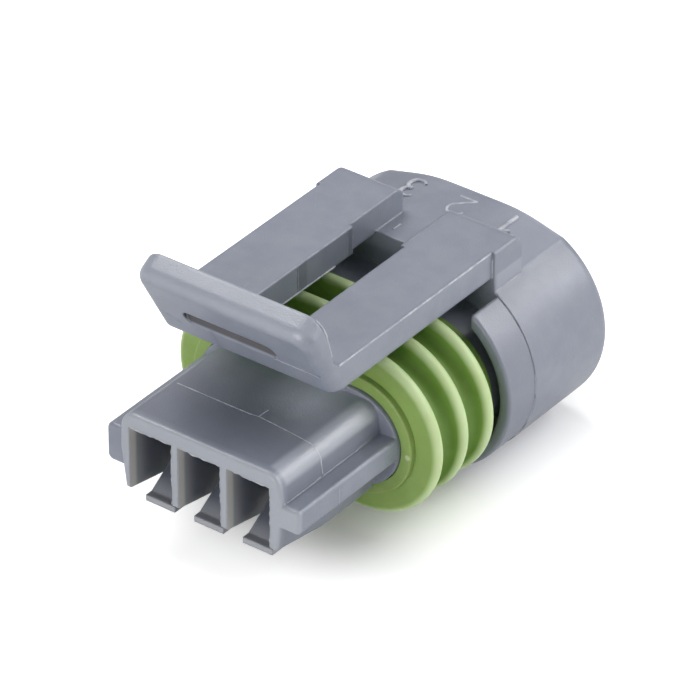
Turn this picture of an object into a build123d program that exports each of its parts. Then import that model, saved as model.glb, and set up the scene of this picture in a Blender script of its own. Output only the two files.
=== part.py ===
from build123d import *
import os
from math import atan, cos, radians, sin, tan

# Sealed three-way wire connector: a grey moulded housing with its latch, a ribbed ring seal on
# the front of the oval body and a wire seal pressed into the back. Millimetres, +Z up, nose
# towards -Y, wires towards +Y. The origin is under the middle of the part, on the rest plane.

# Terminal row
cavity_count = 3
pitch = 4.0
cavity_width = 3.5
cavity_height = 3.95
roof_wall = 1.06

# Oval sections, each a slot shape about one common axis: radius and distance between centres
body_radius = 7.2
body_spacing = 7.3
core_radius = 3.58
core_spacing = 9.1

# Lengths along the connector, in the order they follow one another from the front of the nose
nose_length = 10.6
seal_front_gap = 0.3
seal_length = 8.5
skirt_depth = 2.9
rear_body_length = 8.64

# Nose
nose_rise = 3.3
nose_top_width = 12.9
nose_middle_width = 13.6
nose_left_trim = 0.27
nose_bottom_width = 12.0
nose_middle_level = 0.5
nose_shoulder_radius = 1.2
nose_edge_radius = 0.25
wall_tip_rise = 1.0
wall_ramp_length = 5.4
floor_front = 8.6

# Guide rails on the nose, which differ so that the plug goes in one way round
rail_span = 16.2
right_rail_level = 1.14
right_rail_height = 1.79
right_rail_edge_radius = 0.3
left_rail_level = 1.4
left_rail_height = 2.9
left_rail_edge_radius = 0.45
left_rail_setback = 0.6
rail_end_radius = 0.25

# Terminal lock tongues
tongue_width = 2.4
tongue_thickness = 0.6
tongue_bend = 4.2
tongue_slope = 0.64
foot_front = 0.95
foot_length = 0.6
foot_height = 0.45

# Latch, whose front and window jog are stations behind the front of the nose
latch_front = 5.25
latch_width = 14.3
latch_root_width = 14.7
latch_root_length = 3.2
arm_thickness = 2.15
arm_clearance = 7.04
bar_length = 1.95
window_width = 4.22
window_jog = 0.3
window_jog_station = 19.4
lever_length = 6.45
lever_thickness = 2.05
lever_lean = 29.5
lever_root_radius = 0.9
lever_corner_radius = 1.4
lever_edge_radius = 0.9
bar_edge_radius = 0.3
latch_back_radius = 1.0
latch_edge_radius = 0.2
root_corner_radius = 0.2
window_corner_radius = 0.4
root_sink = 0.3
grip_width = 7.5
grip_offset = -0.4
grip_height = 1.38
grip_rise = 1.95
grip_lean = 5

# Body shell
skirt_wall = 0.85
skirt_step = 0.06
skirt_edge_radius = 0.2
cutaway_margin = 0.25
body_edge_radius = 1.0
shoulder_edge = 7.15
shoulder_blend_radius = 12.0
crease_blend_radius = 0.6
pocket_wall = 1.3
pocket_web = 1.3

# Ring seal
seal_fit = 0.05
seal_inset = 1.02
seal_spread = 1.75
rib_count = 3
rib_pitch = 2.8
rib_width = 1.0
rib_height = 1.34
first_rib = 1.0
rib_crest_radius = 0.46
rib_valley_radius = 0.8
lip_drop = 0.38
lip_edge_radius = 0.12
seal_stop_height = 1.1

# Wire seal
wire_seal_length = 4.6
wire_bore = 1.9
wire_collar_width = 3.2
wire_collar_height = 0.5
wire_rib_count = 3
wire_rib_width = 0.9
wire_rib_height = 0.4
wire_rib_crest_radius = 0.3

# Stations are measured back from the front of the nose, levels up from the rest plane
seal_front = nose_length + seal_front_gap
skirt_front = seal_front + seal_length
skirt_back = skirt_front + skirt_depth
length = skirt_back + rear_body_length
pocket_floor = skirt_back + pocket_web
latch_back = skirt_back + latch_root_length
axis_level = body_radius
nose_top = axis_level + nose_rise
nose_bottom = axis_level - core_radius
roof_level = nose_top - roof_wall
cavity_floor = roof_level - cavity_height
cavity_level = (roof_level + cavity_floor) / 2
arm_bottom = axis_level + arm_clearance
arm_top = arm_bottom + arm_thickness
pocket_radius = body_radius - pocket_wall
seal_radius = body_radius - seal_inset
seal_spacing = body_spacing + seal_spread
valley_radius = seal_radius - rib_height
lip_radius = valley_radius - lip_drop
seal_stop_radius = core_radius + seal_stop_height
cavity_offsets = [(index - (cavity_count - 1) / 2) * pitch for index in range(cavity_count)]


def cross_plane(station):
    """Plane across the connector, facing the mating end, at a station behind the nose."""
    return Plane.XZ.offset(length / 2 - station)


def along(station):
    """Y of a station that is measured back from the front face of the nose."""
    return station - length / 2


def oval(radius, spacing):
    """Slot shape about the common axis, in the sketch that is open."""
    with Locations((0, axis_level)):
        SlotCenterToCenter(spacing, 2 * radius)


def oval_block(station, depth, radius, spacing, mode=Mode.ADD):
    """Oval prism that runs back from a station, in the part that is open."""
    with BuildSketch(cross_plane(station)) as section:
        oval(radius, spacing)
    extrude(section.sketch, amount=-depth, mode=mode)


def oval_rise(radius, spacing, offset_x):
    """Height of an oval above the common axis, at a distance to one side of its middle."""
    beyond = max(offset_x - spacing / 2, 0)
    return (radius**2 - beyond**2) ** 0.5


def body_block(station, depth, radius):
    """Oval prism whose top is trimmed to shallow slopes that run out from under the latch."""
    flat_edge = body_spacing / 2
    shoulder_rise = oval_rise(radius, body_spacing, shoulder_edge)
    trim_corner = 2 * shoulder_edge
    slope = (radius - shoulder_rise) / (shoulder_edge - flat_edge)
    with BuildSketch(cross_plane(station)) as section:
        oval(radius, body_spacing)
        for side in (-1, 1):
            with BuildLine() as trim:
                Polyline(
                    (side * flat_edge, axis_level + radius),
                    (side * trim_corner, axis_level + radius - slope * (trim_corner - flat_edge)),
                    (side * trim_corner, axis_level + 2 * radius),
                    (side * flat_edge, axis_level + 2 * radius),
                    close=True,
                )
            make_face(trim.edges(), mode=Mode.SUBTRACT)
        fillet(section.vertices().group_by(Axis.Y)[-1], shoulder_blend_radius)
        creases = section.vertices().filter_by(lambda corner: abs(abs(corner.X) - shoulder_edge) < 0.01)
        fillet(creases, crease_blend_radius)
    extrude(section.sketch, amount=-depth)


def rail(side, station, top_level, height, edge_radius):
    """Guide rail along one side of the nose, from a station back to the oval core."""
    reach = (rail_span - nose_bottom_width) / 2 + roof_wall
    with BuildPart() as strip:
        with BuildSketch(cross_plane(station)):
            with Locations((side * (rail_span - reach) / 2, axis_level + top_level - height / 2)):
                RectangleRounded(reach, height, edge_radius)
        extrude(amount=-(nose_length - station))
        fillet(strip.faces().sort_by(Axis.Y)[0].edges(), rail_end_radius)
    return strip.part


# Root block of the latch, a little wider than the arms that it carries
root_bottom = axis_level + oval_rise(body_radius, body_spacing, latch_root_width / 2) - root_sink
with BuildPart() as latch_root:
    with BuildSketch(Plane.YZ) as root_profile:
        with Locations((along(skirt_back + latch_root_length / 2), (root_bottom + arm_top) / 2)):
            Rectangle(latch_root_length, arm_top - root_bottom)
        fillet(root_profile.vertices().sort_by_distance((along(latch_back), arm_top))[0], latch_back_radius)
    extrude(amount=latch_root_width / 2, both=True)
    for side_face in (latch_root.faces().sort_by(Axis.X)[0], latch_root.faces().sort_by(Axis.X)[-1]):
        fillet(side_face.edges().sort_by(Axis.Z)[-2:], latch_edge_radius)


# Latch: two arms, a cross bar and a leaning thumb lever
with BuildPart() as latch:
    lean = radians(lever_lean)
    lever_tip = along(latch_front) - lever_length * sin(lean)
    front_top = arm_bottom + lever_length * cos(lean)
    lever_top = front_top + lever_thickness * sin(lean)
    arm_end = along(skirt_back + latch_root_length / 2)
    with BuildSketch(Plane.YZ) as latch_profile:
        with BuildLine():
            Polyline(
                (along(latch_front), arm_bottom),
                (lever_tip, front_top),
                (lever_tip + lever_thickness * cos(lean), lever_top),
                (along(latch_front), arm_top),
                (arm_end, arm_top),
                (arm_end, arm_bottom),
                close=True,
            )
        make_face()
        lever_root = latch_profile.vertices().sort_by_distance((along(latch_front), arm_top))[0]
        fillet(lever_root, lever_root_radius)
    extrude(amount=latch_width / 2, both=True)

    # End corners of the lever as seen square to its front, then the edges all round
    front_direction = (0, -cos(lean), -sin(lean))
    lever_foot = (0, along(latch_front), arm_bottom)
    with BuildSketch(Plane(origin=lever_foot, x_dir=(1, 0, 0), z_dir=front_direction)) as lever_front:
        with Locations((0, (lever_length - length) / 2)):
            Rectangle(latch_width, lever_length + length)
        fillet(lever_front.vertices().group_by(Axis.Y)[-1], lever_corner_radius)
    extrude(amount=length, both=True, mode=Mode.INTERSECT)
    fillet(latch.edges().filter_by(Axis.X).sort_by(Axis.Y)[0], lever_edge_radius)
    fillet(latch.edges().filter_by(Axis.Y).group_by(Axis.Z)[-1], latch_edge_radius)
    fillet(latch.edges().filter_by(Axis.X).sort_by(Axis.Z)[0], bar_edge_radius)

    # Seen from above, the window between the arms is open at the back
    add(latch_root.part)
    window_front = latch_front + bar_length
    with BuildSketch(Plane.XY.offset(root_bottom)) as latch_plan:
        with Locations((0, (lever_tip + along(latch_back)) / 2)):
            Rectangle(latch_root_width, along(latch_back) - lever_tip)
        with Locations((0, along((window_front + window_jog_station) / 2))):
            Rectangle(window_width, window_jog_station - window_front, mode=Mode.SUBTRACT)
        with Locations((-window_jog, along((window_jog_station + latch_back) / 2))):
            Rectangle(window_width, latch_back - window_jog_station, mode=Mode.SUBTRACT)
        fillet(latch_plan.vertices().group_by(Axis.Y)[-1], root_corner_radius)
        fillet(latch_plan.vertices().group_by(Axis.Y)[1], window_corner_radius)
    extrude(amount=lever_top - root_bottom, mode=Mode.INTERSECT)

    # Grip recess across the front of the lever, deeper towards its top
    grip_foot = (grip_offset, along(latch_front) - grip_rise * sin(lean), arm_bottom + grip_rise * cos(lean))
    grip_direction = (0, -cos(radians(grip_lean)), -sin(radians(grip_lean)))
    with BuildSketch(Plane(origin=grip_foot, x_dir=(1, 0, 0), z_dir=grip_direction)):
        with Locations((0, grip_height / 2)):
            SlotOverall(grip_width, grip_height)
    extrude(amount=lever_thickness, mode=Mode.SUBTRACT)


# Nose with leaning side walls and rounded shoulders, shorter below at the mouth
with BuildPart() as nose:
    with BuildSketch(cross_plane(0)) as nose_section:
        with BuildLine():
            Polyline(
                (-nose_top_width / 2, nose_top),
                (nose_top_width / 2, nose_top),
                (nose_middle_width / 2, axis_level + nose_middle_level),
                (nose_bottom_width / 2, nose_bottom),
                (-nose_bottom_width / 2, nose_bottom),
                (nose_left_trim - nose_middle_width / 2, axis_level + nose_middle_level),
                close=True,
            )
        make_face()
        fillet(nose_section.vertices().group_by(Axis.Y)[-1], nose_shoulder_radius)
    extrude(amount=-nose_length)
    with BuildSketch(Plane.YZ):
        with BuildLine():
            Polyline(
                (along(0), nose_bottom),
                (along(0), nose_bottom + wall_tip_rise),
                (along(wall_ramp_length), nose_bottom),
                close=True,
            )
        make_face()
    extrude(amount=nose_middle_width / 2, both=True, mode=Mode.SUBTRACT)
    fillet(nose.faces().sort_by(Axis.Y)[0].edges(), nose_edge_radius)


right_rail = rail(1, 0, right_rail_level, right_rail_height, right_rail_edge_radius)
left_rail = rail(-1, left_rail_setback, left_rail_level, left_rail_height, left_rail_edge_radius)


# Housing: nose, oval core, skirted body and latch in one moulding
with BuildPart() as housing:
    # Rear body and the thin skirt in front of it
    body_block(skirt_back, rear_body_length, body_radius)
    fillet(housing.faces().sort_by(Axis.Y)[-1].edges(), body_edge_radius)
    body_block(skirt_front, skirt_depth, body_radius - skirt_step)
    fillet(housing.faces().sort_by(Axis.Y)[0].edges(), skirt_edge_radius)
    oval_block(skirt_front, skirt_depth, body_radius - skirt_wall, body_spacing, Mode.SUBTRACT)

    # Skirt cut away under the latch, so that the arms can flex
    cutaway_width = latch_root_width + 2 * cutaway_margin
    cutaway_bottom = axis_level + seal_stop_radius
    with BuildSketch(cross_plane(skirt_front)):
        with Locations((0, (cutaway_bottom + arm_top) / 2)):
            Rectangle(cutaway_width, arm_top - cutaway_bottom)
    extrude(amount=-skirt_depth, mode=Mode.SUBTRACT)

    # Oval core that carries the ring seal, with the stop that the seal rests against
    oval_block(nose_length, pocket_floor - nose_length, core_radius, core_spacing)
    oval_block(skirt_front, pocket_floor - skirt_front, seal_stop_radius, core_spacing)
    add(nose.part)
    add(right_rail)
    add(left_rail)

    # Wire seal pocket
    oval_block(pocket_floor, length - pocket_floor, pocket_radius, body_spacing, Mode.SUBTRACT)

    # Terminal cavities, open below at the mouth
    with BuildSketch(cross_plane(0)):
        for offset_x in cavity_offsets:
            with Locations((offset_x, cavity_level)):
                Rectangle(cavity_width, cavity_height)
    extrude(amount=-pocket_floor, mode=Mode.SUBTRACT)
    with BuildSketch(cross_plane(0)):
        for offset_x in cavity_offsets:
            with Locations((offset_x, (cavity_floor + nose_bottom) / 2)):
                Rectangle(cavity_width, cavity_floor - nose_bottom)
    extrude(amount=-floor_front, mode=Mode.SUBTRACT)

    # Lock tongue under each cavity: level at its root, then sloping down to a foot
    foot_back = foot_front + foot_length
    foot_top = cavity_floor - tongue_slope * (tongue_bend - foot_back)
    bend_shift = tongue_thickness * tan(atan(tongue_slope) / 2)
    heel = foot_back + bend_shift + (tongue_thickness - foot_height) / tongue_slope
    for offset_x in cavity_offsets:
        with BuildSketch(Plane.YZ.offset(offset_x)):
            with BuildLine():
                Polyline(
                    (along(floor_front), cavity_floor),
                    (along(tongue_bend), cavity_floor),
                    (along(foot_back), foot_top),
                    (along(foot_front), foot_top),
                    (along(foot_front), foot_top - foot_height),
                    (along(heel), foot_top - foot_height),
                    (along(tongue_bend + bend_shift), cavity_floor - tongue_thickness),
                    (along(floor_front), cavity_floor - tongue_thickness),
                    close=True,
                )
            make_face()
        extrude(amount=tongue_width / 2, both=True)

    add(latch.part)

housing.part.label = "housing"


# Ring seal: a sleeve with a raised front lip and three ribs that run into rounded valleys
with BuildPart() as ring_seal:
    oval_block(seal_front, first_rib, lip_radius, seal_spacing)
    fillet(ring_seal.faces().sort_by(Axis.Y)[0].edges(), lip_edge_radius)
    oval_block(seal_front + first_rib, seal_length - first_rib, valley_radius, seal_spacing)
    for index in range(rib_count):
        rib_station = seal_front + first_rib + index * rib_pitch
        oval_block(rib_station - rib_width / 2, rib_width, seal_radius, seal_spacing)
    valley_faces = ring_seal.faces().filter_by(Axis.Y).sort_by(Axis.Y)[2:-1]
    fillet([edge for face in valley_faces for edge in face.inner_wires()[0].edges()], rib_valley_radius)
    rib_faces = ring_seal.faces().filter_by(Axis.Y).sort_by(Axis.Y)[1:-1]
    fillet([edge for face in rib_faces for edge in face.outer_wire().edges()], rib_crest_radius)
    oval_block(seal_front, seal_length, core_radius + seal_fit, core_spacing, Mode.SUBTRACT)

ring_seal.part.label = "ring_seal"


# Wire seal: a ribbed block on the pocket floor with a collared hole for each wire
with BuildPart() as wire_seal:
    wire_seal_radius = pocket_radius - seal_fit
    wire_seal_back = pocket_floor + wire_seal_length
    wire_rib_pitch = (wire_seal_length - wire_rib_width) / (wire_rib_count - 1)
    oval_block(pocket_floor, wire_seal_length, wire_seal_radius - wire_rib_height, body_spacing)
    for index in range(wire_rib_count):
        oval_block(pocket_floor + index * wire_rib_pitch, wire_rib_width, wire_seal_radius, body_spacing)
    rib_faces = wire_seal.faces().filter_by(Axis.Y)
    fillet([edge for face in rib_faces for edge in face.outer_wire().edges()], wire_rib_crest_radius)
    with BuildSketch(cross_plane(wire_seal_back)):
        for offset_x in cavity_offsets:
            with Locations((offset_x, cavity_level)):
                Circle(wire_collar_width / 2)
    extrude(amount=-wire_collar_height)
    with BuildSketch(cross_plane(pocket_floor)):
        for offset_x in cavity_offsets:
            with Locations((offset_x, cavity_level)):
                Circle(wire_bore / 2)
    extrude(amount=-(wire_seal_length + wire_collar_height), mode=Mode.SUBTRACT)

wire_seal.part.label = "wire_seal"


os.makedirs("parts", exist_ok=True)
export_step(housing.part, "parts/housing.step")
export_step(ring_seal.part, "parts/ring_seal.step")
export_step(wire_seal.part, "parts/wire_seal.step")
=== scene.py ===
"""Studio scene for a sealed three-way connector plug: finishes, small moulding marks, floor and light."""

import math

import bpy
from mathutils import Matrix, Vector


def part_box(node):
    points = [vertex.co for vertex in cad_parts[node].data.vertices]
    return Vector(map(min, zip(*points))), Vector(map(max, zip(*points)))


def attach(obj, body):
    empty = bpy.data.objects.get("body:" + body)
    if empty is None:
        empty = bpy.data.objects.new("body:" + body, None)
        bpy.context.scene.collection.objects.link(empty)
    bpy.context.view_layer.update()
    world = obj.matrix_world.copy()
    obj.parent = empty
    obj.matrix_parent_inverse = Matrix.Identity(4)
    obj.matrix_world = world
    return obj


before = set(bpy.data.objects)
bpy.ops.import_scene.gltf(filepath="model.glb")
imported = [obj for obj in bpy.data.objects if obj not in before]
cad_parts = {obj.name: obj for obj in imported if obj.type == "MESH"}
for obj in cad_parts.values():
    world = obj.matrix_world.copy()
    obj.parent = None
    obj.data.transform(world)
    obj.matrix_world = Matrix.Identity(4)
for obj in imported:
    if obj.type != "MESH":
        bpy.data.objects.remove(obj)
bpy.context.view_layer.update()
MM = 0.001

# Places on the moulding in millimetres, as in the part's source. A station lies that far behind the front
# face of the nose, and a level that far above the floor
housing_low, housing_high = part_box("housing")
seal_low, seal_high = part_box("ring_seal")
LENGTH = (housing_high[1] - housing_low[1]) / MM
NOSE_LENGTH = 10.6
NOSE_TOP = 10.5
NOSE_TOP_HALF = 6.45
NOSE_SHOULDER = 1.2
CAVITY_ROOF = 9.44
CAVITY_HALF = 1.75
CAVITY_CENTRES = (-4.0, 0.0, 4.0)
RAIL_TOP = 8.34
RAIL_SIDE = 8.1
BODY_RADIUS = 7.2
BODY_HALF_SPACING = housing_high[0] / MM - BODY_RADIUS
BODY_TOP = 2 * BODY_RADIUS
AXIS_LEVEL = BODY_RADIUS
SKIRT_BACK = 22.3
ARM_BOTTOM = 14.24
ARM_TOP = 16.39
ARM_SIDE = 7.15
ARM_INNER = -2.15
ARM_STEPS = (13.9, 19.35)
LEVER_FOOT = 5.25
LEVER_LEAN = math.radians(29.5)
GRIP_CENTRE = -0.4
GRIP_HALF = 3.75
SEAL_CREST = (seal_high[2] - seal_low[2]) / 2 / MM
SEAL_HALF_SPACING = seal_high[0] / MM - SEAL_CREST

# Depth of a raised line's middle below the face that carries it
SINK = 0.02


def along(station):
    """Y in metres of a station that is measured back from the front face of the nose."""
    return (station - LENGTH / 2) * MM


def spot(x, station, level):
    """Point in metres from x, station and level in millimetres."""
    return (x * MM, along(station), level * MM)


# Shader maths


class Signal:
    """A socket's value that can be used in sums; each operator adds one Math node."""

    def __init__(self, finish, socket):
        self.finish = finish
        self.socket = socket

    def math(self, operation, *values):
        return self.finish.add("ShaderNodeMath", {"operation": operation}, dict(enumerate(values)))

    def __add__(self, other):
        return self.math("ADD", self, other)

    __radd__ = __add__

    def __mul__(self, other):
        return self.math("MULTIPLY", self, other)

    __rmul__ = __mul__

    def __sub__(self, other):
        return self.math("SUBTRACT", self, other)

    def __rsub__(self, other):
        return self.math("SUBTRACT", other, self)

    def __abs__(self):
        return self.math("ABSOLUTE", self)

    def __pow__(self, other):
        return self.math("POWER", self, other)

    def at_least(self, other):
        return self.math("MAXIMUM", self, other)

    def between(self, low, high, bottom=0.0, top=1.0):
        """Value spread from low..high to bottom..top, held at the ends."""
        return self.finish.add(
            "ShaderNodeMapRange",
            {"interpolation_type": "SMOOTHSTEP"},
            {0: self, 1: low, 2: high, 3: bottom, 4: top},
        )

    def over(self, limit, fade):
        """0 up to limit and 1 from fade past it."""
        return self.between(limit, limit + fade)

    def under(self, limit, fade):
        """1 up to limit and 0 from fade past it."""
        return self.between(limit, limit + fade, 1.0, 0.0)


class Finish:
    """A node material, with one way to add any node to it."""

    def __init__(self, name):
        self.material = bpy.data.materials.new(name)
        self.material.use_nodes = True
        self.tree = self.material.node_tree
        self.tree.nodes.clear()

    def add(self, kind, settings=None, inputs=None, output=0):
        node = self.tree.nodes.new(kind)
        for key, value in (settings or {}).items():
            setattr(node, key, value)
        for key, value in (inputs or {}).items():
            if isinstance(value, Signal):
                self.tree.links.new(value.socket, node.inputs[key])
            else:
                node.inputs[key].default_value = value
        return Signal(self, node.outputs[output] if node.outputs else None)

    def noise(self, size_mm, detail=2.0, roughness=0.5, stretch=(1, 1, 1)):
        """Noise around 0.5 whose blobs are about size_mm across, longer where stretch is under 1."""
        where = self.add("ShaderNodeTexCoord", output="Object")
        where = self.add("ShaderNodeMapping", None, {"Vector": where, "Scale": stretch})
        return self.add(
            "ShaderNodeTexNoise",
            None,
            {"Vector": where, "Scale": 1 / (size_mm * MM), "Detail": detail, "Roughness": roughness},
        )

    def axis(self, name):
        """One of X, Y and Z in millimetres."""
        where = self.add("ShaderNodeTexCoord", output="Object")
        return self.add("ShaderNodeSeparateXYZ", None, {0: where}, output=name) * (1 / MM)

    def mix(self, factor, first, second):
        values = {0: factor, 6: first, 7: second}
        return self.add("ShaderNodeMix", {"data_type": "RGBA"}, values, output=2)

    def close(self, shader):
        self.add("ShaderNodeOutputMaterial", None, {"Surface": shader})
        return self.material


def srgb(red, green, blue):
    """Linear colour with alpha, from 0..255 display values."""
    def one(value):
        value /= 255
        return value / 12.92 if value <= 0.04045 else ((value + 0.055) / 1.055) ** 2.4

    return (one(red), one(green), one(blue), 1.0)


def paint_mouth(finish, colour, across, station, level):
    """Painted light and shade: paler front face, walls pale at the mouth and dark further in, pale tongue
    feet.
    """
    # Front face of the nose painted paler: painted light on the face that looks forward
    colour = finish.mix(station.under(0.15, 0.35) * 0.75, colour, srgb(166, 170, 178))
    outer_wall = CAVITY_CENTRES[-1] + CAVITY_HALF
    in_cavities = abs(across).under(outer_wall + 0.01, 0.06) * level.under(CAVITY_ROOF + 0.02, 0.06)
    # Walls painted pale just inside the mouth: painted light reaching into the cavities
    mouth_wall_light = in_cavities * station.over(0.01, 0.06) * station.under(0.6, 1.6)
    colour = finish.mix(mouth_wall_light * 0.95, colour, srgb(224, 223, 218))
    # Walls painted dark further in: painted shade deep in the cavities
    cavity_shade = in_cavities * station.over(0.9, 1.9) * station.under(NOSE_LENGTH + 0.4, 1.0)
    colour = finish.mix(cavity_shade * 0.85, colour, srgb(40, 39, 40))
    # Feet of the tongues painted pale: painted light on faces that lie in shade
    feet_light = in_cavities * station.under(1.4, 1.6) * level.under(4.2, 0.7)
    return finish.mix(feet_light * 0.85, colour, srgb(206, 207, 210))


def paint_nose(finish, colour, across, station, level):
    """Painted shade on the nose's top and sides, and a painted highlight along its right shoulder."""
    on_nose = abs(across).under(6.9, 0.1) * level.under(NOSE_TOP + 0.3, 1.0)
    on_nose = on_nose * station.over(0.5, 0.4) * station.under(NOSE_LENGTH - 0.8, 0.8)
    shoulder_highlight = across.over(5.0, 0.6) * level.over(NOSE_TOP - NOSE_SHOULDER, 0.5)
    # Top and sides of the nose painted darker: painted shade under the latch
    colour = finish.mix(on_nose * 0.6, colour, srgb(108, 113, 127))
    # Right shoulder painted pale: painted highlight
    return finish.mix(on_nose * shoulder_highlight * 0.5, colour, srgb(190, 194, 203))


def paint_body(finish, colour, across, station, level):
    """Painted shade on the skirt's right side and the bend below the shoulder, painted light on the right
    crown.
    """
    skirt_shade = station.over(16.0, 0.5) * station.under(SKIRT_BACK - 0.3, 0.4)
    skirt_shade = skirt_shade * across.over(7.0, 0.4) * level.under(13.0, 0.5)
    # Right side of the skirt painted darker: painted shade
    colour = finish.mix(skirt_shade * 0.35, colour, srgb(112, 116, 130))
    on_body = station.over(SKIRT_BACK, 0.5)
    crown_light = on_body * across.over(1.0, 4.0) * level.over(13.1, 0.5) * level.under(BODY_TOP + 0.1, 0.2)
    # Crown of the body's right half painted paler: painted light on its top
    colour = finish.mix(crown_light * 0.6, colour, srgb(166, 170, 182))
    bend = on_body * across.over(6.4, 0.8) * level.over(11.8, 1.0) * level.under(13.3, 0.3)
    # Bend below the shoulder painted darker: painted shade
    return finish.mix(bend * 0.4, colour, srgb(104, 109, 121))


def paint_latch(finish, colour, across, station, level):
    """Painted shade in the lever's grip recess, a painted highlight on its ridge and painted shade inside
    the left arm.
    """
    back = station - LEVER_FOOT
    up = level - ARM_BOTTOM
    behind_face = back * math.cos(LEVER_LEAN) + up * math.sin(LEVER_LEAN)
    along_face = up * math.cos(LEVER_LEAN) - back * math.sin(LEVER_LEAN)
    in_grip = behind_face.over(0.05, 0.09) * behind_face.under(0.75, 0.15)
    in_grip = in_grip * along_face.over(1.8, 0.1) * along_face.under(3.6, 0.2)
    in_grip = in_grip * abs(across - GRIP_CENTRE).under(GRIP_HALF + 0.05, 0.1)
    # Grip recess painted dark, darker towards the left: painted shade in the recess
    grip_shade = finish.mix(across.over(-4.3, 4.8), srgb(30, 31, 35), srgb(60, 56, 56))
    colour = finish.mix(in_grip * 0.9, colour, grip_shade)
    # Ridge of the lever painted paler: painted highlight
    ridge_highlight = behind_face.under(2.5, 0.5) * along_face.over(5.6, 0.7)
    colour = finish.mix(ridge_highlight * 0.5, colour, srgb(172, 176, 186))
    # Inside of the left arm painted darker, most at its steps: painted shade
    inside = abs(across - ARM_INNER).under(0.14, 0.06) * station.under(SKIRT_BACK - 1.3, 1.0)
    inside = inside * level.over(ARM_BOTTOM - 0.14, 0.1) * level.under(ARM_TOP - 0.19, 0.15)
    steps = sum(abs(station - middle).under(0.44, 0.06) for middle in ARM_STEPS)
    return finish.mix(inside * (steps * 0.35 + 0.25), colour, srgb(84, 88, 98))


def moulded_grey():
    """Satin blue-grey thermoplastic: flow streaks, spark-eroded grain, specks and edges with a painted
    highlight.
    """
    finish = Finish("moulded_grey")
    place = (finish.axis("X"), finish.axis("Y") + LENGTH / 2, finish.axis("Z"))
    flow = finish.noise(7.0, 3.0, 0.55, stretch=(1.0, 0.35, 1.0))
    clouds = finish.noise(1.7, 4.0, 0.6)
    grain = finish.noise(0.11, 2.0, 0.55)
    specks = finish.noise(0.3, 2.0, 0.6).between(0.66, 0.76)
    rubbed = finish.noise(2.6, 3.0, 0.6).between(0.42, 0.7)
    shade = (flow * 0.5 + clouds * 0.5).between(0.36, 0.64)
    colour = finish.mix(shade, srgb(126, 131, 146), srgb(135, 140, 154))
    colour = finish.mix(specks * 0.2, colour, srgb(160, 164, 175))
    for paint in (paint_mouth, paint_nose, paint_body, paint_latch):
        colour = paint(finish, colour, *place)

    soft_edge = finish.add("ShaderNodeBevel", {"samples": 6}, {"Radius": 0.25 * MM})
    plain = finish.add("ShaderNodeNewGeometry", output="Normal")
    agreement = finish.add(
        "ShaderNodeVectorMath", {"operation": "DOT_PRODUCT"}, {0: soft_edge, 1: plain}, "Value"
    )
    turned = 1.0 - agreement
    # Edges painted pale in patches: a painted highlight where the surface turns
    edge_highlight = turned.between(0.015, 0.2) * finish.noise(1.1, 3.0, 0.6).between(0.35, 0.6)
    colour = finish.mix(edge_highlight * 0.6, colour, srgb(176, 179, 188))
    bump = finish.add(
        "ShaderNodeBump",
        None,
        {"Strength": 0.5, "Distance": 0.045 * MM, "Height": grain + clouds * 0.4, "Normal": soft_edge},
    )
    shader = finish.add(
        "ShaderNodeBsdfPrincipled",
        None,
        {"Base Color": colour, "Roughness": 0.33 - rubbed * 0.06 + grain * 0.08, "Normal": bump,
         "IOR": 1.55, "Specular IOR Level": 0.75},
    )
    return finish.close(shader)


def raised_plastic(name, dull, bright):
    """Thin raised plastic that shows paler than the walls, from a dull to a bright tone in patches."""
    finish = Finish(name)
    patches = finish.noise(0.9, 3.0, 0.6).between(0.38, 0.62)
    grain = finish.noise(0.08, 2.0, 0.5)
    bump = finish.add("ShaderNodeBump", None, {"Strength": 0.3, "Distance": 0.02 * MM, "Height": grain})
    shader = finish.add(
        "ShaderNodeBsdfPrincipled",
        None,
        {"Base Color": finish.mix(patches, dull, bright), "Roughness": 0.4 + grain * 0.1, "Normal": bump,
         "IOR": 1.55},
    )
    return finish.close(shader)


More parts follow.
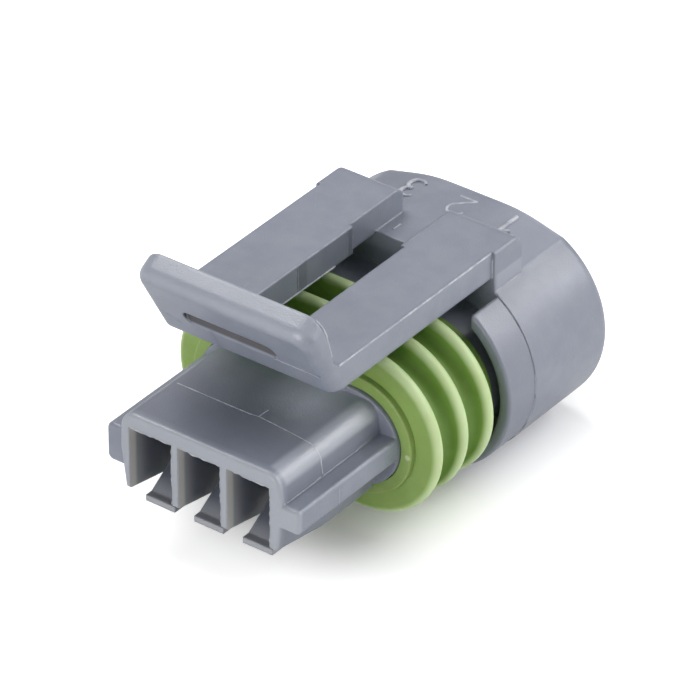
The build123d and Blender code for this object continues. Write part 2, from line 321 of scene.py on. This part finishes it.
def green_silicone():
    """Light green silicone, deep green in the valleys: a painted highlight on the crests, painted light
    on the front lip, bloom and dust.
    """
    finish = Finish("green_silicone")
    clouds = finish.noise(2.4, 3.0, 0.55)
    dust = finish.noise(0.28, 3.0, 0.65).between(0.62, 0.76)
    grain = finish.noise(0.14, 2.0, 0.5)
    outward = (abs(finish.axis("X")) - SEAL_HALF_SPACING).at_least(0.0)
    upward = finish.axis("Z") - AXIS_LEVEL
    reach = (outward * outward + upward * upward) ** 0.5
    station = finish.axis("Y") + LENGTH / 2
    shade = clouds.between(0.35, 0.65)
    valley = finish.mix(shade, srgb(130, 163, 80), srgb(138, 171, 88))
    front = finish.mix(shade, srgb(137, 163, 90), srgb(144, 170, 98))
    crest_highlight = finish.mix(shade, srgb(192, 213, 158), srgb(199, 220, 168))
    # Front lip painted a little paler: painted light on it
    colour = finish.mix(station.between(11.2, 12.0, 1.0, 0.0), valley, front)
    # Crests painted pale: painted highlight
    colour = finish.mix(reach.between(SEAL_CREST - 0.5, SEAL_CREST), colour, crest_highlight)
    gate = finish.add(
        "ShaderNodeVectorMath",
        {"operation": "DISTANCE"},
        {0: finish.add("ShaderNodeTexCoord", output="Object"), 1: spot(8.7, 10.95, 6.95)},
        "Value",
    )
    colour = finish.mix(gate.between(0.12 * MM, 0.28 * MM, 0.8, 0.0), colour, srgb(200, 214, 170))
    colour = finish.mix(dust * 0.1, colour, srgb(200, 216, 178))
    bump = finish.add(
        "ShaderNodeBump", None, {"Strength": 0.25, "Distance": 0.03 * MM, "Height": grain * 0.5 + clouds}
    )
    shader = finish.add(
        "ShaderNodeBsdfPrincipled",
        None,
        {"Base Color": colour, "Roughness": 0.4 + dust * 0.08 + (clouds - 0.5) * 0.1, "Normal": bump,
         "IOR": 1.42, "Specular IOR Level": 0.4, "Subsurface Weight": 0.2, "Subsurface Scale": 0.6 * MM},
    )
    return finish.close(shader)


GREY = moulded_grey()
MARKS = raised_plastic("raised_marks", srgb(140, 145, 158), srgb(156, 160, 171))
# Pale beads: flash, and highlights painted along edges
FLASH_AND_HIGHLIGHT = raised_plastic("pale_flash_and_highlight", srgb(158, 162, 173), srgb(192, 195, 202))
GREEN = green_silicone()
for node_name, node_finish in (("housing", GREY), ("ring_seal", GREEN), ("wire_seal", GREEN)):
    node_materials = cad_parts[node_name].data.materials
    node_materials.clear()
    node_materials.append(node_finish)


# Raised lines: numbers, witness lines, parting lines, flash and beads of painted highlight, all swept
# along their paths by one tree


def raised_line_tree():
    """Tree that gives each path a round bead with a ragged width."""
    tree = bpy.data.node_groups.new("raised_line", "GeometryNodeTree")
    for name, kind, direction in (
        ("Paths", "NodeSocketGeometry", "INPUT"),
        ("Radius", "NodeSocketFloat", "INPUT"),
        ("Step", "NodeSocketFloat", "INPUT"),
        ("Raggedness", "NodeSocketFloat", "INPUT"),
        ("Sides", "NodeSocketInt", "INPUT"),
        ("Finish", "NodeSocketMaterial", "INPUT"),
        ("Beads", "NodeSocketGeometry", "OUTPUT"),
    ):
        tree.interface.new_socket(name, in_out=direction, socket_type=kind)

    def add(kind, settings, inputs, output=0):
        node = tree.nodes.new(kind)
        for key, value in settings.items():
            setattr(node, key, value)
        for key, value in inputs.items():
            if isinstance(value, bpy.types.NodeSocket):
                tree.links.new(value, node.inputs[key])
            else:
                node.inputs[key].default_value = value
        return node.outputs[output] if node.outputs else None

    given = tree.nodes.new("NodeGroupInput").outputs
    paths = add("GeometryNodeMeshToCurve", {}, {"Mesh": given["Paths"]})
    even = add("GeometryNodeResampleCurve", {"mode": "LENGTH"}, {"Curve": paths, "Length": given["Step"]})
    noise = add("ShaderNodeTexNoise", {}, {"Scale": 1 / (0.4 * MM), "Detail": 2.0})
    around = add("ShaderNodeMath", {"operation": "SUBTRACT"}, {0: noise, 1: 0.5})
    ragged = given["Raggedness"]
    width = add("ShaderNodeMath", {"operation": "MULTIPLY_ADD"}, {0: around, 1: ragged, 2: 1.0})
    ring = add(
        "GeometryNodeCurvePrimitiveCircle", {}, {"Radius": given["Radius"], "Resolution": given["Sides"]}
    )
    swept = add(
        "GeometryNodeCurveToMesh",
        {},
        {"Curve": even, "Profile Curve": ring, "Scale": width, "Fill Caps": True},
    )
    real = add("GeometryNodeRealizeInstances", {}, {"Geometry": swept})
    done = add("GeometryNodeSetMaterial", {}, {"Geometry": real, "Material": given["Finish"]})
    add("NodeGroupOutput", {}, {"Beads": done})
    return tree


RAISED_LINE = raised_line_tree()
BEAD_STEP = 0.15
BEAD_SIDES = 8


def raised_lines(name, paths, radius_mm, ragged=0.0, finish=MARKS):
    """One piece on the housing from paths, each a list of points in metres."""
    points = [point for path in paths for point in path]
    edges = []
    first = 0
    for path in paths:
        edges += [(first + index, first + index + 1) for index in range(len(path) - 1)]
        first += len(path)
    mesh = bpy.data.meshes.new(name)
    mesh.from_pydata(points, edges, [])
    piece = bpy.data.objects.new(name, mesh)
    bpy.context.scene.collection.objects.link(piece)
    modifier = piece.modifiers.new("raised_line", "NODES")
    modifier.node_group = RAISED_LINE
    inputs = {"Radius": radius_mm * MM, "Step": BEAD_STEP * MM, "Raggedness": ragged, "Sides": BEAD_SIDES,
              "Finish": finish}
    for item in RAISED_LINE.interface.items_tree:
        if item.name in inputs:
            modifier[item.identifier] = inputs[item.name]
    bpy.context.view_layer.update()
    baked = bpy.data.meshes.new_from_object(piece.evaluated_get(bpy.context.evaluated_depsgraph_get()))
    piece.modifiers.remove(modifier)
    piece.data = baked
    for face in baked.polygons:
        face.use_smooth = True
    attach(piece, "root")
    return piece


def arc(centre, radius, start, end, steps=10):
    """Points (u, v) on an arc, angles in degrees."""
    turns = [math.radians(start + (end - start) * index / steps) for index in range(steps + 1)]
    return [(centre[0] + radius * math.cos(turn), centre[1] + radius * math.sin(turn)) for turn in turns]


# Strokes of the numbers in a box 1.5 wide and 2.2 high, centred on its middle
NUMBER_STROKES = {
    1: [[(0.1, -1.1), (0.1, 1.1)], [(0.1, 1.1), (-0.5, 0.6)]],
    2: [
        arc((0.0, 0.42), 0.66, 165, -35) + [(-0.66, -1.08)],
        [(-0.66, -1.08), (0.72, -1.08)],
    ],
    3: [arc((-0.02, 0.54), 0.56, 150, -85), arc((-0.02, -0.5), 0.62, 90, -150)],
}


def body_top(x):
    """Level of the body's upper side over x."""
    past = max(abs(x) - BODY_HALF_SPACING, 0.0)
    return AXIS_LEVEL + math.sqrt(BODY_RADIUS ** 2 - past ** 2)


def number_paths(number, x, station):
    """Strokes on the body's top, upright for one who looks from the wires' side."""
    sunk = 0.12
    return [
        [spot(x - u, station - v, body_top(x - u) - sunk) for u, v in stroke]
        for stroke in NUMBER_STROKES[number]
    ]


numbers = number_paths(1, 4.1, 28.4) + number_paths(2, 0.25, 28.2) + number_paths(3, -3.7, 28.2)
raised_lines("cavity_numbers", numbers, 0.16, finish=FLASH_AND_HIGHLIGHT)


def nose_shoulder(station):
    """Points over the rounded edge between the nose's top and its right side, at a station."""
    side_tilt = 7.1
    middle = (NOSE_TOP_HALF - 1.06, NOSE_TOP - NOSE_SHOULDER)
    return [spot(x, station, level) for x, level in arc(middle, NOSE_SHOULDER - SINK, 90, side_tilt, 6)]


# Witness line round the nose, where an insert of the mould ended, with its short branch
witness_level = NOSE_TOP - SINK
witness_top = [spot(x, 4.69, witness_level) for x in (-5.4, -4.5, -2.9, -1.2, 0.4)]
witness_bend = [spot(x, station, witness_level) for x, station in ((1.2, 4.8), (3.0, 4.66), (4.6, 4.5))]
witness_down = [spot(6.58, 4.36, 9.4), spot(6.7, 4.36, RAIL_TOP + 0.15)]
raised_lines(
    "nose_witness_line",
    [
        witness_top + witness_bend + nose_shoulder(4.4) + witness_down,
        [spot(1.22, 4.85, witness_level), spot(1.24, 5.75, witness_level)],
    ],
    0.048,
    ragged=1.8,
    finish=FLASH_AND_HIGHLIGHT,
)

# Flash along the foot of the nose's side, whose middle stands above the rail, and a line down the rail
rail_bead = RAIL_TOP + 0.03
raised_lines(
    "rail_lines",
    [
        [spot(6.76, 0.5, rail_bead), spot(6.76, 3.7, rail_bead)],
        [spot(6.76, 4.25, rail_bead), spot(6.76, 8.1, rail_bead)],
        [spot(RAIL_SIDE - SINK, 4.28, 8.0), spot(RAIL_SIDE - SINK, 4.28, 6.7)],
    ],
    0.05,
    ragged=1.2,
)


def mouth_flash():
    """Ragged flash on the top and right edge of each cavity's mouth."""
    station = 0.18
    roof = CAVITY_ROOF - 0.07
    paths = []
    for centre in CAVITY_CENTRES:
        left = centre - CAVITY_HALF
        right = centre + CAVITY_HALF
        paths.append([spot(left, station, roof), spot(right, station, roof)])
        paths.append([spot(right - 0.04, station, CAVITY_ROOF), spot(right - 0.04, station, 4.75)])
    return paths


raised_lines("mouth_flash", mouth_flash(), 0.11, ragged=2.6, finish=FLASH_AND_HIGHLIGHT)


def on_lever(x, rise, behind=0.0):
    """Point on the lever's front face, or behind it, rise in millimetres up along it."""
    station = LEVER_FOOT - rise * math.sin(LEVER_LEAN) + behind * math.cos(LEVER_LEAN)
    return spot(x, station, ARM_BOTTOM + rise * math.cos(LEVER_LEAN) + behind * math.sin(LEVER_LEAN))


def on_lever_back(x, rise):
    """Point just inside the lever's rear face, which parts from its front face as it rises."""
    root_rise = 1.87
    root_behind = 1.01
    taper = 0.216
    return on_lever(x, rise, root_behind + taper * (rise - root_rise))


arm_face = ARM_INNER + 0.04
raised_lines(
    "latch_lines",
    [
        [on_lever(2.9, 2.0), on_lever(6.6, 1.97)],
        [on_lever(-5.8, 2.05), on_lever(-5.3, 1.7), on_lever(-4.9, 1.35)],
        [spot(-3.35, 8.7, ARM_TOP - SINK), spot(-3.42, 9.8, ARM_TOP - SINK)],
        [spot(arm_face, 13.4, ARM_TOP - 0.2), spot(arm_face, 13.4, ARM_BOTTOM + 0.1)],
        [spot(arm_face, 18.8, ARM_TOP - 0.2), spot(arm_face, 18.8, ARM_BOTTOM + 0.1)],
    ],
    0.045,
    ragged=0.8,
)

# Pale beads: painted highlights on the right arm's top edge, the lever's corner and the body's right
# crease; a seam down the arm, flash under the left arm and a pale mark on the body's top
raised_lines(
    "edge_flash_and_highlights",
    [
        [spot(ARM_SIDE - 0.04, station, ARM_TOP - 0.03) for station in (5.6, 22.2)],
        [spot(ARM_SIDE, SKIRT_BACK, level) for level in (ARM_TOP - 0.5, ARM_BOTTOM + 0.2)],
        [on_lever_back(x, rise) for x, rise in arc((5.75, 5.05), 1.37, 55, 0) + [(7.11, 3.0)]],
        [spot(ARM_INNER + 0.07, station, ARM_BOTTOM + 0.04) for station in (9.2, 17.4)],
        [spot(-1.61, 23.2, BODY_TOP), spot(-1.58, 24.0, BODY_TOP)],
        [spot(7.13, station, 13.42) for station in (25.7, 29.4)],
    ],
    0.06,
    ragged=1.4,
    finish=FLASH_AND_HIGHLIGHT,
)


def body_seam(start, end):
    """Points down the body's right side along the step behind the skirt, angles from level."""
    radius = BODY_RADIUS - 0.06
    return [
        spot(x, SKIRT_BACK, level)
        for x, level in arc((BODY_HALF_SPACING, AXIS_LEVEL), radius, start, end)
    ]


raised_lines(
    "body_seam",
    [body_seam(start, end) for start, end in ((8, -4), (-7, -26), (-31, -38))],
    0.05,
    ragged=1.6,
    finish=FLASH_AND_HIGHLIGHT,
)


# Floor, light and camera


def studio_floor():
    """Near white board whose glow, seen by the camera alone, is painted weak around the part and strong
    away from it, out to white.
    """
    finish = Finish("studio_floor")
    shade_half_width = 5.5
    shade_half_length = 10.0
    shade_middle = 5.0
    fade = 9.0
    aside = (abs(finish.axis("X")) - shade_half_width).at_least(0.0)
    beyond = (abs(finish.axis("Y") - shade_middle) - shade_half_length).at_least(0.0)
    away = ((aside * aside + beyond * beyond) ** 0.5).over(0.0, fade)
    to_camera = finish.add("ShaderNodeLightPath", output="Is Camera Ray")
    # Painted glow for the camera, weakest around the part, where the floor's shade stays
    glow = finish.mix(to_camera * (away * 0.58 + 0.07), (0, 0, 0, 1), (1, 1, 1, 1))
    paint = finish.add(
        "ShaderNodeBsdfPrincipled",
        None,
        {"Base Color": (0.88, 0.88, 0.88, 1), "Roughness": 0.9, "Specular IOR Level": 0.1,
         "Emission Color": glow, "Emission Strength": 1.0},
    )
    return finish.close(paint)


def add_floor():
    half = 3.0
    corners = [(-half, -half, 0), (half, -half, 0), (half, half, 0), (-half, half, 0)]
    mesh = bpy.data.meshes.new("floor")
    mesh.from_pydata(corners, [], [(0, 1, 2, 3)])
    mesh.materials.append(studio_floor())
    floor = bpy.data.objects.new("floor", mesh)
    bpy.context.scene.collection.objects.link(floor)


# Each lamp: direction from the part, distance and side in metres, power in watts
LAMPS = {
    "top_light": ((-0.45, 0.1, 0.88), 0.9, 0.5, 4.4),
    "front_light": ((0.0, -0.97, 0.26), 0.9, 0.6, 5.1),
    "back_right_light": ((0.49, 0.65, 0.57), 0.9, 0.55, 4.8),
    "right_light": ((0.9, 0.35, 0.2), 0.9, 0.6, 3.0),
    "back_left_light": ((-0.6, 0.6, 0.5), 0.9, 0.5, 0.58),
}
WORLD_LEVEL = 0.1


def add_lamp(name, direction, distance, side, power):
    toward = Vector(direction).normalized()
    lamp = bpy.data.lights.new(name, "AREA")
    lamp.shape = "SQUARE"
    lamp.size = side
    lamp.energy = power
    holder = bpy.data.objects.new(name, lamp)
    holder.location = toward * distance
    holder.rotation_mode = "QUATERNION"
    holder.rotation_quaternion = (-toward).to_track_quat("-Z", "Y")
    bpy.context.scene.collection.objects.link(holder)


def set_world():
    world = bpy.data.worlds.new("studio")
    world.use_nodes = True
    tree = world.node_tree
    background = tree.nodes["Background"]
    background.inputs["Color"].default_value = (1, 1, 1, 1)
    path = tree.nodes.new("ShaderNodeLightPath")
    share = tree.nodes.new("ShaderNodeMapRange")
    share.inputs[3].default_value = WORLD_LEVEL
    share.inputs[4].default_value = 1.0
    tree.links.new(path.outputs["Is Camera Ray"], share.inputs[0])
    tree.links.new(share.outputs[0], background.inputs["Strength"])
    bpy.context.scene.world = world


def add_camera():
    """Camera as fitted to the photograph: a long lens from the right, above the nose."""
    azimuth = math.radians(36.865)
    elevation = math.radians(33.642)
    distance = 0.425157
    target = Vector(spot(4.696, 10.0, 14.289))
    back = Vector(
        (math.sin(azimuth) * math.cos(elevation), -math.cos(azimuth) * math.cos(elevation),
         math.sin(elevation))
    )
    lens = bpy.data.cameras.new("camera")
    lens.sensor_width = 36.0
    lens.lens = 338.0
    lens.clip_start = 0.01
    camera = bpy.data.objects.new("camera", lens)
    camera.location = target + back * distance
    camera.rotation_mode = "QUATERNION"
    camera.rotation_quaternion = (-back).to_track_quat("-Z", "Y")
    bpy.context.scene.collection.objects.link(camera)
    bpy.context.scene.camera = camera


add_floor()
for lamp_name, (lamp_direction, lamp_distance, lamp_side, lamp_power) in LAMPS.items():
    add_lamp(lamp_name, lamp_direction, lamp_distance, lamp_side, lamp_power)
set_world()
add_camera()
bpy.context.scene.view_settings.view_transform = "Standard"
